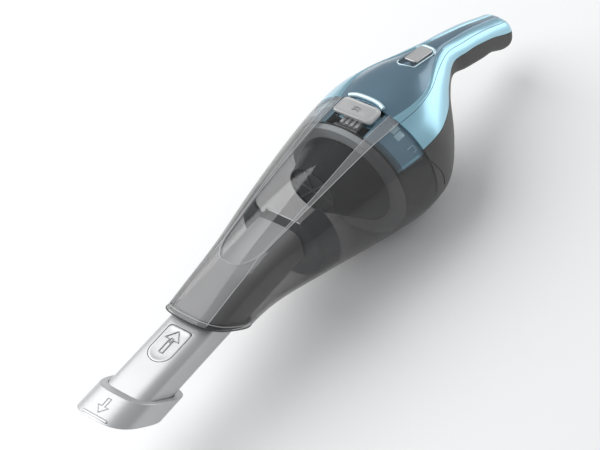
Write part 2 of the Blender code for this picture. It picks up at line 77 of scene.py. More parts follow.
TOP_LINE = [(-285, 18), (-260, 21), (-215, 28.5), (-185, 33), (-130, 38.8), (-80, 43), (-43, 44.8),
            (-10, 43), (15, 43), (40, 40.5), (65, 33), (90, 27.5), (115, 18.4), (140, 8.5),
            (165, -3.5), (190, -16)]
BOTTOM_LINE = [(-285, -21), (-210, -25), (-185, -29), (-130, -46), (-80, -64.5), (-43, -77.5),
               (-10, -84), (10, -84), (40, -66), (65, -21.5), (90, -9.5), (115, -18.8),
               (140, -28), (155, -32.5), (165, -39), (175, -45), (190, -48)]
HALF_WIDTH = [(-285, 28), (-234, 29), (-185, 32), (-130, 43.4), (-80, 54), (-43, 60.5), (-10, 65),
              (15, 63), (40, 50), (65, 31.5), (90, 19.2), (115, 18.5), (140, 17.8), (165, 17),
              (190, 16.8)]
SQUARENESS = [(-285, 3.0), (-234, 2.8), (-130, 2.3), (-80, 2.1), (-10, 2.05), (40, 2.1), (90, 2.4),
              (190, 2.5)]
CREASE = [(-10, 24), (15, 29), (40, 33), (60, 31), (80, 24), (100, 18), (125, 13), (162, 9)]
TOP_PART = [(-10, 31), (15, 34), (35, 37), (60, 40), (90, 42), (120, 38), (190, 35)]
SIDE_PART = [(-10, 58), (15, 60), (39, 66), (60, 76), (78, 82), (98, 77), (125, 71), (156, 75),
             (190, 80)]
WINDOW_ANGLE = 30.0
WINDOW_TIP_X = -191.0
WINDOW_ROUND = 16.0
CREASE_ANGLE = 33.0
CREASE_MARKS = [0, 0.3, 0.55, 0.75, 0.9, 0.97, 1.0, 1.03, 1.08, 1.14]
PANEL_SINK = 0.9

TOOL_HALF = (21.0, 14.5)
TOOL_SQUARENESS = 4.0
TOOL_WALL = 1.8
TOOL_FRONT_X = -341.5
TOOL_REAR_X = box_mm("crevice_tool")[1].x
COLLAR_X = (-343.5, -316.0)
COLLAR_HALF = (26.5, 21.5)
COLLAR_SQUARENESS = 3.0
COLLAR_LIFT = -0.5
COUPLING_ANGLE = 62.0
COUPLING_INSET = WALL + 0.9
LATCH_ROOM_HALF = 19.5
NOTCH_HALF = 20.0
TONGUE_FRONT, TONGUE_REAR, TONGUE_HALF = -298.0, -262.0, 11.0
DUCT_HALF = (21.6, 15.6)
DUCT_WALL = 1.4
BAND_ANGLE = WINDOW_ANGLE + 6
CUP_REAR = (-49.6, 66.0, 45.0)
CUP_FRONT = (-91.0, 90.0, 23.0)
SHARP = 38.0


# ------ curves and outlines

def along(line, x):
    """Value of a (x, value) line at x, on a smooth curve through its points."""
    x = min(max(x, line[0][0]), line[-1][0])
    i = 0
    while i < len(line) - 2 and x >= line[i + 1][0]:
        i += 1

    def slope(k):
        if k == 0 or k == len(line) - 1:
            a, b = (0, 1) if k == 0 else (k - 1, k)
            return (line[b][1] - line[a][1]) / (line[b][0] - line[a][0])
        before = (line[k][1] - line[k - 1][1]) / (line[k][0] - line[k - 1][0])
        after = (line[k + 1][1] - line[k][1]) / (line[k + 1][0] - line[k][0])
        return 0 if before * after <= 0 else (before + after) / 2

    width = line[i + 1][0] - line[i][0]
    t = (x - line[i][0]) / width
    start = (1 + 2 * t) * (1 - t) ** 2 * line[i][1] + t * (1 - t) ** 2 * width * slope(i)
    end = t * t * (3 - 2 * t) * line[i + 1][1] + t * t * (t - 1) * width * slope(i + 1)
    return start + end


def smooth_step(low, high, value):
    """0 below low, 1 above high and smooth between them."""
    t = min(max((value - low) / (high - low), 0), 1)
    return t * t * (3 - 2 * t)


def rounded(half_width, half_height, squareness, angle):
    """(y, z) on a rounded rectangle, angle in degrees from the top towards -Y."""
    s, c = math.sin(math.radians(angle)), math.cos(math.radians(angle))
    power = 2 / squareness
    y = -half_width * math.copysign(abs(s) ** power, s)
    z = half_height * math.copysign(abs(c) ** power, c)
    return y, z


def skin(x, angle, inset=0.0):
    """Point of the body's skin at station x, moved inwards by inset, with its flat belly."""
    top, bottom = along(TOP_LINE, x), along(BOTTOM_LINE, x)
    half_width, half_height = along(HALF_WIDTH, x) - inset, (top - bottom) / 2 - inset
    y, z = rounded(half_width, half_height, along(SQUARENESS, x), angle)
    return Vector((x, y, max(AXIS_Z + (top + bottom) / 2 + z, inset)))


def leaning_skin(x, angle, inset=0.0):
    """As skin, with the sections near the mouth leaning forward like its rim."""
    lean = LEAN * (1 - smooth_step(MOUTH_X, MOUTH_X + LEAN_LENGTH, x))
    point = skin(x, angle, inset)
    if lean > 0:
        for _ in range(6):
            point = skin(x - lean * (point.z - AXIS_Z), angle, inset)
    return point


def tube_point(half, x, angle, lean=0.0, squareness=TOOL_SQUARENESS, lift=0.0):
    """Point on a rounded tube along the nozzle's centre line."""
    y, z = rounded(half[0], half[1], squareness, angle)
    return Vector((x - lean * (z + lift), y, AXIS_Z + lift + z))


def grown(half, amount):
    return half[0] + amount, half[1] + amount


def even_angles(half, squareness, count):
    """Angles of count points spaced evenly round a rounded rectangle."""
    parts = 1440
    fine = [i * 360 / parts for i in range(parts + 1)]
    places = [rounded(half[0], half[1], squareness, a) for a in fine]
    run = [0.0]
    for p, q in zip(places, places[1:]):
        run.append(run[-1] + math.dist(p, q))
    angles, k = [], 0
    for i in range(count):
        goal = run[-1] * i / count
        while run[k + 1] < goal:
            k += 1
        angles.append(fine[k] + 360 / parts * (goal - run[k]) / (run[k + 1] - run[k]))
    return angles


def steps(first, last, count):
    """count even steps from first to last, both included."""
    return [first + (last - first) * i / (count - 1) for i in range(count)]


# ------ materials

def node_tree(name):
    """A new material with its nodes, links and main shader."""
    made = bpy.data.materials.new(name)
    made.use_nodes = True
    nodes, links = made.node_tree.nodes, made.node_tree.links
    return made, nodes, links, nodes["Principled BSDF"]


def put(node, **values):
    """Sets inputs of a node by name, with _ for a space."""
    for name, value in values.items():
        node.inputs[name.replace("_", " ")].default_value = value


def texture(nodes, links, kind, scale):
    """A texture laid on the object in its own coordinates."""
    place = nodes.new("ShaderNodeTexCoord")
    field = nodes.new(kind)
    put(field, Scale=scale)
    links.new(place.outputs["Object"], field.inputs["Vector"])
    return field


def noise(nodes, links, scale, detail):
    field = texture(nodes, links, "ShaderNodeTexNoise", scale)
    put(field, Detail=detail)
    return field


def maths(nodes, links, how, *values):
    """The result of a sum over outputs of nodes and plain numbers."""
    node = nodes.new("ShaderNodeMath")
    node.operation = how
    for entry, value in zip(node.inputs, values):
        if isinstance(value, float):
            entry.default_value = value
        else:
            links.new(value, entry)
    return node.outputs["Value"]


def spread(nodes, links, source, low, high):
    """The source's 0 to 1 mapped to low to high."""
    ramp = nodes.new("ShaderNodeMapRange")
    put(ramp, To_Min=low, To_Max=high)
    links.new(source, ramp.inputs["Value"])
    return ramp.outputs["Result"]


def tinted(nodes, links, source, dark, light):
    """A colour between dark and light, picked by source."""
    mix = nodes.new("ShaderNodeMix")
    mix.data_type = "RGBA"
    put(mix, A=(*dark, 1), B=(*light, 1))
    links.new(source, mix.inputs["Factor"])
    return mix.outputs["Result"]


def bumped(nodes, links, source, shader, strength, distance):
    """Gives the shader a relief from source, distance millimetres deep."""
    bump = nodes.new("ShaderNodeBump")
    put(bump, Strength=strength, Distance=distance * MM)
    links.new(source, bump.inputs["Height"])
    links.new(bump.outputs["Normal"], shader.inputs["Normal"])


def scaled(rgb, factor):
    return tuple(min(c * factor, 1) for c in rgb)


def plastic(name, rgb, rough, metallic=0.0, grain=900.0, relief=0.05, mottle=0.06):
    """Moulded plastic: a little colour drift, uneven gloss and a fine grain."""
    made, nodes, links, shader = node_tree(name)
    drift = noise(nodes, links, 35.0, 2.0)
    fine = noise(nodes, links, grain, 3.0)
    colour = tinted(nodes, links, drift.outputs["Fac"], scaled(rgb, 1 - mottle), scaled(rgb, 1 + mottle))
    links.new(colour, shader.inputs["Base Color"])
    gloss = spread(nodes, links, fine.outputs["Fac"], rough * 0.85, rough * 1.15)
    links.new(gloss, shader.inputs["Roughness"])
    put(shader, Metallic=metallic)
    bumped(nodes, links, fine.outputs["Fac"], shader, 0.25, relief)
    return made


def flake_paint(name, rgb, rough, metallic, coat):
    """Metallic paint: fine flakes under a clear coat."""
    made, nodes, links, shader = node_tree(name)
    flakes = texture(nodes, links, "ShaderNodeTexVoronoi", 2600.0)
    drift = noise(nodes, links, 20.0, 2.0)
    both = maths(nodes, links, "MULTIPLY_ADD", flakes.outputs["Distance"], 0.35, drift.outputs["Fac"])
    colour = tinted(nodes, links, both, scaled(rgb, 0.88), scaled(rgb, 1.1))
    links.new(colour, shader.inputs["Base Color"])
    gloss = spread(nodes, links, flakes.outputs["Distance"], rough * 0.9, rough * 1.2)
    links.new(gloss, shader.inputs["Roughness"])
    put(shader, Metallic=metallic, Coat_Weight=coat, Coat_Roughness=0.06)
    return made


def see_through(name, tint, rough, veil=0.0, veil_rgb=(0.5, 0.5, 0.5)):
    """Thin clear moulding: tinted light goes straight through and its face mirrors at a slant.

    veil is the share of its face that scatters light instead, as a milky or a dusty face does.
    """
    made, nodes, links, shader = node_tree(name)
    nodes.remove(shader)
    cloud = noise(nodes, links, 30.0, 2.0)
    clear = nodes.new("ShaderNodeBsdfTransparent")
    colour = tinted(nodes, links, cloud.outputs["Fac"], scaled(tint, 0.97), scaled(tint, 1.03))
    links.new(colour, clear.inputs["Color"])
    gloss = nodes.new("ShaderNodeBsdfGlossy")
    put(gloss, Roughness=rough)
    slant = nodes.new("ShaderNodeLayerWeight")
    put(slant, Blend=0.5)
    steep = maths(nodes, links, "POWER", slant.outputs["Facing"], 4.5)
    mix = nodes.new("ShaderNodeMixShader")
    links.new(maths(nodes, links, "MULTIPLY_ADD", steep, 0.8, 0.035), mix.inputs["Fac"])
    body = clear.outputs["BSDF"]
    if veil:
        milk = nodes.new("ShaderNodeBsdfDiffuse")
        put(milk, Color=(*veil_rgb, 1))
        share = nodes.new("ShaderNodeMixShader")
        patchy = spread(nodes, links, cloud.outputs["Fac"], veil * 0.93, veil * 1.07)
        links.new(patchy, share.inputs["Fac"])
        links.new(body, share.inputs[1])
        links.new(milk.outputs["BSDF"], share.inputs[2])
        body = share.outputs["Shader"]
    links.new(body, mix.inputs[1])
    links.new(gloss.outputs["BSDF"], mix.inputs[2])
    links.new(mix.outputs["Shader"], nodes["Material Output"].inputs["Surface"])
    return made


def mesh_cloth(name, rgb):
    """Fine woven filter cloth or wire mesh: two crossed sets of threads."""
    made, nodes, links, shader = node_tree(name)
    threads = []
    for axis in ("Y", "Z"):
        wave = texture(nodes, links, "ShaderNodeTexWave", 260.0)
        wave.bands_direction = axis
        threads.append(wave.outputs["Fac"])
    weave = maths(nodes, links, "MAXIMUM", *threads)
    colour = tinted(nodes, links, weave, scaled(rgb, 0.45), rgb)
    links.new(colour, shader.inputs["Base Color"])
    put(shader, Roughness=0.7)
    bumped(nodes, links, weave, shader, 0.6, 0.15)
    return made


def cell_sleeve(name, rgb):
    """Smooth shrink wrap of a battery cell."""
    made, nodes, links, shader = node_tree(name)
    drift = noise(nodes, links, 60.0, 2.0)
    colour = tinted(nodes, links, drift.outputs["Fac"], scaled(rgb, 0.9), scaled(rgb, 1.1))
    links.new(colour, shader.inputs["Base Color"])
    put(shader, Roughness=0.35)
    return made


SATIN = {"grain": 1500.0, "relief": 0.02, "mottle": 0.02}
SILVER = plastic("satin_silver", (0.54, 0.543, 0.547), 0.38, metallic=0.62, **SATIN)
SILVER_KEY = plastic("key_silver", (0.46, 0.46, 0.46), 0.38, metallic=0.2, **SATIN)
# Painted shade: the raised arrow and hook marks take a darker grey than the silver, standing in for the shade
# along their edges.
EMBOSS_SHADE = plastic("emboss_shade_grey", (0.38, 0.38, 0.39), 0.45)
MARK = plastic("mark_grey", (0.25, 0.25, 0.26), 0.5)
BLUE = flake_paint("slate_blue_paint", (0.13, 0.22, 0.29), 0.30, 0.55, 0.6)
LIGHT_BLUE = flake_paint("pearl_blue_paint", (0.34, 0.60, 0.72), 0.30, 0.85, 0.5)
EDGE_BLUE = flake_paint("pale_blue_edge", (0.62, 0.80, 0.86), 0.30, 0.3, 0.5)
# Painted shade: a dark blue laid flush in the bays round the keys, standing in for the shade in their
# recesses.
RECESS_SHADE_BLUE = plastic("recess_shade_blue", (0.03, 0.05, 0.07), 0.4)
CHARCOAL = plastic("charcoal_plastic", (0.070, 0.068, 0.066), 0.42, grain=1200.0, relief=0.06)
GRIP = plastic("soft_grip", (0.062, 0.060, 0.058), 0.55, grain=1800.0, relief=0.08)
DARK = plastic("dark_plastic", (0.035, 0.036, 0.038), 0.4)
GREY = plastic("grey_plastic", (0.34, 0.35, 0.36), 0.4)
BAND_GREY = plastic("blue_grey_plastic", (0.055, 0.068, 0.08), 0.35)
COUPLING_BLUE = flake_paint("coupling_blue", (0.22, 0.36, 0.45), 0.3, 0.4, 0.5)
RIB_GREY = plastic("rib_grey", (0.12, 0.12, 0.12), 0.4)
DUCT_GREY = plastic("duct_grey", (0.34, 0.34, 0.345), 0.35)
CLOTH = mesh_cloth("filter_cloth", (0.22, 0.22, 0.22))
SCREEN = mesh_cloth("screen_mesh", (0.09, 0.09, 0.095))
RUBBER = plastic("black_rubber", (0.02, 0.02, 0.02), 0.7)
STEEL = plastic("plain_steel", (0.55, 0.55, 0.56), 0.28, metallic=1.0)
SLEEVE = cell_sleeve("cell_sleeve", (0.1, 0.35, 0.2))
BOARD = plastic("circuit_board", (0.04, 0.22, 0.09), 0.4)
SMOKE = see_through("smoke_tint", (0.57, 0.56, 0.56), 0.12, 0.16, (0.17, 0.17, 0.17))
# Painted light: the top of the nose takes this paler, clearer smoke, standing in for the light it catches
# from above.
SMOKE_NOSE_LIT = see_through("smoke_nose_painted_light", (0.78, 0.78, 0.785), 0.12, 0.26, (0.50, 0.50, 0.50))
SMOKE_CLEAR_RIM = see_through("smoke_edge", (0.90, 0.92, 0.93), 0.08, 0.05, (0.3, 0.32, 0.34))
SMOKE_VEIL = see_through("smoke_veil", (0.93, 0.93, 0.93), 0.2, 0.12)
SMOKE_DEEP = see_through("smoke_rim", (0.22, 0.22, 0.22), 0.2, 0.78, (0.035, 0.035, 0.036))
CLEAR = see_through("clear_window", (0.955, 0.96, 0.962), 0.03)
# Painted highlight: a pale milky bead laid along edges and creases of the bowl, standing in for the light
# they catch.
EDGE_GLINT = see_through("edge_glint", (0.9, 0.9, 0.9), 0.15, 0.6, (0.75, 0.75, 0.76))
FACET = see_through("window_facet", (0.86, 0.865, 0.87), 0.08, 0.22, (0.55, 0.56, 0.57))


# ------ meshes

def piece(name, points, faces, materials, body, slots=None, sharp=SHARP, bevel=0.0):
    """A shaded object from points in millimetres that rides on a body."""
    mesh = bpy.data.meshes.new(name)
    mesh.from_pydata([Vector(p) * MM for p in points], [], faces)
    for look in materials:
        mesh.materials.append(look)
    if slots:
        for face, slot in zip(mesh.polygons, slots):
            face.material_index = slot
    made = bpy.data.objects.new(name, mesh)
    bpy.context.scene.collection.objects.link(made)
    finish_mesh(made, sharp)
    if bevel:
        soften(made, bevel)
    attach(made, body)
    return made


def finish_mesh(made, sharp=SHARP):
    """Welds, turns faces out and shades smooth, apart from edges bent more than sharp degrees."""
    bm = bmesh.new()
    bm.from_mesh(made.data)
    bmesh.ops.remove_doubles(bm, verts=bm.verts, dist=2e-6)
    bmesh.ops.recalc_face_normals(bm, faces=bm.faces)
    for face in bm.faces:
        face.smooth = True
    for edge in bm.edges:
        edge.smooth = edge.calc_face_angle(0) < math.radians(sharp)
    bm.to_mesh(made.data)
    bm.free()


def soften(made, width, segments=3):
    """Rounds the sharp edges, as a mould does."""
    step = made.modifiers.new("soften", "BEVEL")
    step.width = width * MM
    step.segments = segments
    step.limit_method = "ANGLE"
    step.angle_limit = math.radians(40)
    step.harden_normals = True


def wall(name, xs, outer, inner, materials, body, span=None, around=96, angles=None, slot=None,
         bevel=0.0, sharp=SHARP):
    """A wall between outer(x, angle) and inner(x, angle), full round or over span(x).

    slot(x, share of the way round, inside) picks the material of a face.
    """
    points, closed = [], span is None
    for x in xs:
        if closed:
            turns = angles or [360 * i / around for i in range(around)]
        else:
            first, last = span(x)
            turns = [first + (last - first) * i / (around - 1) for i in range(around)]
        points += [outer(x, a) for a in turns] + [inner(x, a) for a in turns]
    count = len(turns)
    row, wide = 2 * count, count if closed else count - 1
    faces, slots = [], []

    def add(face, k, i, inside):
        faces.append(face)
        slots.append(slot(xs[min(k, len(xs) - 1)], i / max(wide, 1), inside) if slot else 0)

    for k in range(len(xs) - 1):
        a, b = k * row, (k + 1) * row
        for i in range(wide):
            j = (i + 1) % count
            add((a + i, a + j, b + j, b + i), k, i, False)
            add((a + count + j, a + count + i, b + count + i, b + count + j), k, i, True)
        if not closed:
            for e in (0, count - 1):
                if (points[a + e] - points[a + (count - 1 - e)]).length > 0.05:
                    add((a + e, b + e, b + count + e, a + count + e), k, e, True)
    for k, start in ((0, 0), (len(xs) - 1, (len(xs) - 1) * row)):
        for i in range(wide):
            j = (i + 1) % count
            add((start + i, start + count + i, start + count + j, start + j), k, i, True)
    return piece(name, points, faces, materials, body, slots, sharp, bevel)


def turned(name, outline, z, materials, body, around=64):
    """A closed (x, radius) outline turned about a line along X at height z."""
    points, count = [], len(outline)
    for i in range(around):
        a = 2 * math.pi * i / around
        points += [Vector((x, r * math.sin(a), z + r * math.cos(a))) for x, r in outline]
    faces = []
    for i in range(around):
        a, b = i * count, (i + 1) % around * count
        faces += [(a + k, a + (k + 1) % count, b + (k + 1) % count, b + k) for k in range(count)]
    return piece(name, points, faces, materials, body)


def slab(name, outline, lift, materials, body, bevel=0.0):
    """A flat outline of (a, b) pairs given thickness; lift(a, b, level) places level 0 and 1."""
    count = len(outline)
    points = [Vector(lift(a, b, level)) for level in (0, 1) for a, b in outline]
    faces = [tuple(range(count - 1, -1, -1)), tuple(range(count, 2 * count))]
    faces += [(i, (i + 1) % count, count + (i + 1) % count, count + i) for i in range(count)]
    return piece(name, points, faces, materials, body, bevel=bevel)


def evaluated_mesh(holder):
    """The mesh of an object as its modifiers or its curve settings leave it."""
    bpy.context.view_layer.update()
    return bpy.data.meshes.new_from_object(holder.evaluated_get(bpy.context.evaluated_depsgraph_get()))


def cut(target, tool):
    """Takes tool away from target, which has no bevel yet."""
    step = target.modifiers.new(tool.name, "BOOLEAN")
    step.operation = "DIFFERENCE"
    step.object = tool
    mesh = evaluated_mesh(target)
    target.modifiers.remove(step)
    target.data = mesh
    bpy.data.objects.remove(tool)
    finish_mesh(target)


def block(name, low, high, materials, body, bevel=0.0):
    """A box between two corners."""
    xs, ys, zs = zip(low, high)
    points = [Vector((x, y, z)) for x in xs for y in ys for z in zs]
    faces = [(0, 1, 3, 2), (4, 6, 7, 5), (0, 4, 5, 1), (2, 3, 7, 6), (0, 2, 6, 4), (1, 5, 7, 3)]
    return piece(name, points, faces, materials, body, bevel=bevel)


def on_skin(x, y, height=0.0):
    """The point above (x, y) on the body's upper skin, raised by height."""
    top, bottom = along(TOP_LINE, x), along(BOTTOM_LINE, x)
    squareness = along(SQUARENESS, x)
    share = min(abs(y) / along(HALF_WIDTH, x), 1)
    rise = (top - bottom) / 2 * (1 - share ** squareness) ** (1 / squareness)
    return Vector((x, y, AXIS_Z + (top + bottom) / 2 + rise + height))


def moved(outline, dx, dy=0.0):
    return [(a + dx, b + dy) for a, b in outline]


def pad(name, outline, rings, place, materials, body, slots=None):
    """A pillow over an outline: rings of (inset, height) from its foot to its middle.

    place(a, b, h) puts a point of the outline on a surface. slots gives the material of each band.
    """
    a_low, a_high = min(a for a, b in outline), max(a for a, b in outline)
    b_low, b_high = min(b for a, b in outline), max(b for a, b in outline)
    middle = ((a_low + a_high) / 2, (b_low + b_high) / 2)
    half = ((a_high - a_low) / 2, (b_high - b_low) / 2)
    points, faces, looks, count = [], [], [], len(outline)
    for inset, height in rings:
        for a, b in outline:
            shrunk = [m + (v - m) * max(1 - inset / h, 0.02) for v, m, h in zip((a, b), middle, half)]
            points.append(Vector(place(shrunk[0], shrunk[1], height)))
    for k in range(len(rings) - 1):
        for i in range(count):
            j = (i + 1) % count
            faces.append((k * count + i, k * count + j, (k + 1) * count + j, (k + 1) * count + i))
            looks.append(slots[k] if slots else 0)
    faces += [tuple(range(count - 1, -1, -1)), tuple((len(rings) - 1) * count + i for i in range(count))]
    looks += [0, slots[-1] if slots else 0]
    return piece(name, points, faces, materials, body, looks)


def bead(name, line, radius, look, body, cyclic=False):
    """A round bead along a line of points."""
    curve = bpy.data.curves.new(name, "CURVE")
    curve.dimensions = "3D"
    curve.bevel_depth = radius * MM
    curve.bevel_resolution = 3
    curve.use_fill_caps = True
    spline = curve.splines.new("POLY")
    spline.points.add(len(line) - 1)
    for knot, place in zip(spline.points, line):
        knot.co = (*(Vector(place) * MM), 1)
    spline.use_cyclic_u = cyclic
    holder = bpy.data.objects.new(name, curve)
    bpy.context.scene.collection.objects.link(holder)
    mesh = evaluated_mesh(holder)
    bpy.data.objects.remove(holder)
    mesh.name = name
    mesh.materials.clear()
    mesh.materials.append(look)
    made = bpy.data.objects.new(name, mesh)
    bpy.context.scene.collection.objects.link(made)
    finish_mesh(made, 60)
    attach(made, body)
    return made


def round_box(length, width, radius, count=8):
    """Outline of a rectangle with round corners, centred on the origin."""
    outline = []
    for sx, sy, start in ((1, 1, 0), (-1, 1, 90), (-1, -1, 180), (1, -1, 270)):
        for i in range(count + 1):
            a = math.radians(start + 90 * i / count)
            outline.append((sx * (length / 2 - radius) + radius * math.cos(a),
                            sy * (width / 2 - radius) + radius * math.sin(a)))
    return outline


# ------ nozzle

def tongue_outline(grow):
    """The tongue button's outline, round at its front, grown by grow all round."""
    half, rear = TONGUE_HALF + grow, TONGUE_REAR + grow
    centre = TONGUE_FRONT + TONGUE_HALF
    corner = 3.0
    outline = []
    for side in (-1, 1):
        for i in range(7):
            a = math.radians(90 * (i if side < 0 else 6 - i) / 6)
            outline.append((rear - corner + corner * math.sin(a),
                            side * (half - corner + corner * math.cos(a))))
    arc = [math.radians(90 + 180 * i / 32) for i in range(33)]
    return outline + [(centre + half * math.cos(a), half * math.sin(a)) for a in arc]


def arrow_outline(length, shaft, head, head_length):
    """An arrow along +a from its tail at 0."""
    neck = length - head_length
    return [(0, -shaft), (neck, -shaft), (neck, -head), (length, 0), (neck, head), (neck, shaft), (0, shaft)]


def inner_outline(outline, amount):
    """The outline moved inwards by amount."""
    shifted, count = [], len(outline)
    area = sum(p[0] * q[1] - q[0] * p[1] for p, q in zip(outline, outline[1:] + outline[:1]))
    turn = 1 if area > 0 else -1
    for i in range(count):
        p, q, r = Vector(outline[i - 1]), Vector(outline[i]), Vector(outline[(i + 1) % count])
        a, b = (q - p).normalized(), (r - q).normalized()
        na, nb = Vector((-a.y, a.x)) * turn, Vector((-b.y, b.x)) * turn
        mid = (na + nb).normalized()
        shifted.append(tuple(q + mid * amount / max(mid.dot(na), 0.3)))
    return shifted


def ribbon_mark(name, outline, width, height, place, look, body):
    """A raised line that follows an outline; place(a, b, h) puts it on the surface."""
    inside = inner_outline(outline, width)
    count = len(outline)
    points = [Vector(place(a, b, h)) for h in (-0.15, height) for ring in (outline, inside) for a, b in ring]
    faces = []
    for i in range(count):
        p, q = ([k * count + at for k in range(4)] for at in (i, (i + 1) % count))
        faces += [(p[0], q[0], q[2], p[2]), (p[1], p[3], q[3], q[1]),
                  (p[2], q[2], q[3], p[3]), (p[0], p[1], q[1], q[0])]
    return piece(name, points, faces, [look], body)


def make_nozzle():
    top = AXIS_Z + TOOL_HALF[1]
    turns = even_angles(TOOL_HALF, TOOL_SQUARENESS, 96)
    stations = [TOOL_FRONT_X] + steps(TOOL_FRONT_X + 30, TOOL_REAR_X, 6)
    tool = wall(
        "tool_skin", stations,
        lambda x, a: tube_point(TOOL_HALF, x, a, LEAN if x == TOOL_FRONT_X else 0),
        lambda x, a: tube_point(grown(TOOL_HALF, -TOOL_WALL), x, a, LEAN if x == TOOL_FRONT_X else 0),
        [SILVER], "nozzle", angles=turns,
    )
    slot = slab("slot", tongue_outline(PART_GAP), lambda a, b, t: (a, b, top - 5 + 10 * t), [SILVER],
                "nozzle")
    cut(tool, slot)
    soften(tool, 0.35, 2)
    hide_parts("crevice_tool")

    turns = even_angles(COLLAR_HALF, COLLAR_SQUARENESS, 96)
    collar = wall(
        "collar_skin", steps(COLLAR_X[0], COLLAR_X[1], 4),
        lambda x, a: tube_point(COLLAR_HALF, x, a, LEAN, COLLAR_SQUARENESS, COLLAR_LIFT),
        lambda x, a: tube_point(grown(TOOL_HALF, 0.3), x, a, LEAN),
        [SILVER], "nozzle", angles=turns, bevel=0.9,
    )
    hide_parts("nozzle_collar")

    crown = AXIS_Z + COLLAR_LIFT + COLLAR_HALF[1]

    def on_collar(a, b, h):
        level = (1 - abs(b / COLLAR_HALF[0]) ** COLLAR_SQUARENESS) ** (1 / COLLAR_SQUARENESS)
        return a, b, crown - COLLAR_HALF[1] * (1 - level) + h

    front = COLLAR_X[0] - LEAN * (COLLAR_HALF[1] + COLLAR_LIFT)
    rib = pad("collar_rib", moved(round_box(2.6, 25, 1.25), front + 3.8),
              [(0, -0.4), (0, 0.5), (0.3, 0.85), (0.8, 1.0)], on_collar, [SILVER], "nozzle")
    # The arrow's darker grey is painted shade along its raised edges.
    arrow = [(front + 22 - a, b) for a, b in arrow_outline(15, 1.7, 5.4, 7)]
    ribbon_mark("collar_arrow", arrow, 0.5, 0.3, on_collar, EMBOSS_SHADE, "nozzle")

    def on_tongue(a, b, h):
        return a, b, top + 0.3 - 0.5 * (b / TONGUE_HALF) ** 2 + h

    tongue = pad(
        "tongue_button", tongue_outline(0),
        [(0, -2.2), (0, -0.5), (0.25, -0.12), (0.7, 0.0), (2.0, -0.1), (3.5, -0.35), (6, -0.45),
         (9, -0.45)],
        on_tongue, [SILVER], "nozzle_button",
    )
    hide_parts("nozzle_button")
    # The arrow and hook marks on the tongue are darker grey as painted shade along their raised edges.
    arrow = [(TONGUE_REAR - 27 + a, b) for a, b in arrow_outline(24, 2.2, 7.2, 10)]
    ribbon_mark("tongue_arrow", arrow, 0.6, 0.25, on_tongue, EMBOSS_SHADE, "nozzle_button")
    hook = [(TONGUE_REAR - 13.5 + a, b) for a, b in round_box(5, 2.6, 1.2)]
    ribbon_mark("tongue_mark", hook, 0.5, 0.2, on_tongue, EMBOSS_SHADE, "nozzle_button")


# ------ dust bowl

def window_half(x):
    """Half the window's angle, 0 ahead of its round tip."""
    t = min(max((x - WINDOW_TIP_X) / WINDOW_ROUND, 0), 1)
    return WINDOW_ANGLE * math.sqrt(1 - (1 - t) ** 2)


def facet_half(x):
    """The facet beside the window widens towards the rear."""
    t = smooth_step(WINDOW_TIP_X, SEAM_X, x)
    return max(window_half(x) - 1.8 - 7.0 * t, 0)


def bowl_stations():
    """Stations ahead of the window, along its round tip and behind that."""
    tip = [WINDOW_TIP_X + WINDOW_ROUND * (1 - math.cos(math.pi / 2 * i / 10)) for i in range(11)]
    ahead = steps(MOUTH_X, WINDOW_TIP_X, 14)[:-1]
    behind = steps(WINDOW_TIP_X + WINDOW_ROUND, SEAM_X - SEAM_GAP, 44)[1:]
    return ahead, tip, behind


BOWL_LOOKS = [SMOKE, SMOKE_VEIL, SMOKE_CLEAR_RIM, SMOKE_NOSE_LIT]
BOWL_OUT, BOWL_IN, BOWL_RIM, BOWL_NOSE_LIT = range(4)


def bowl_slot(x, share, inside):
    """The rim over the coupling takes a clearer smoke, and the outside of the nose's top a paler, clearer
    smoke: painted light, as it is lit from above.
    """
    first = window_half(x)
    turn = first + (180 - first) * 2 * min(share, 1 - share)
    if x > RING_X + 3 and turn < COUPLING_ANGLE:
        return BOWL_RIM
    if x < WINDOW_TIP_X + WINDOW_ROUND and turn < CREASE_ANGLE and not inside:
        return BOWL_NOSE_LIT
    return BOWL_IN if inside else BOWL_OUT


def beside_window(x):
    """The bowl's span round the window, with a fine gap where the window is."""
    half = window_half(x)
    gap = 0.25 * (half > 0)
    return half + gap, 360 - half - gap


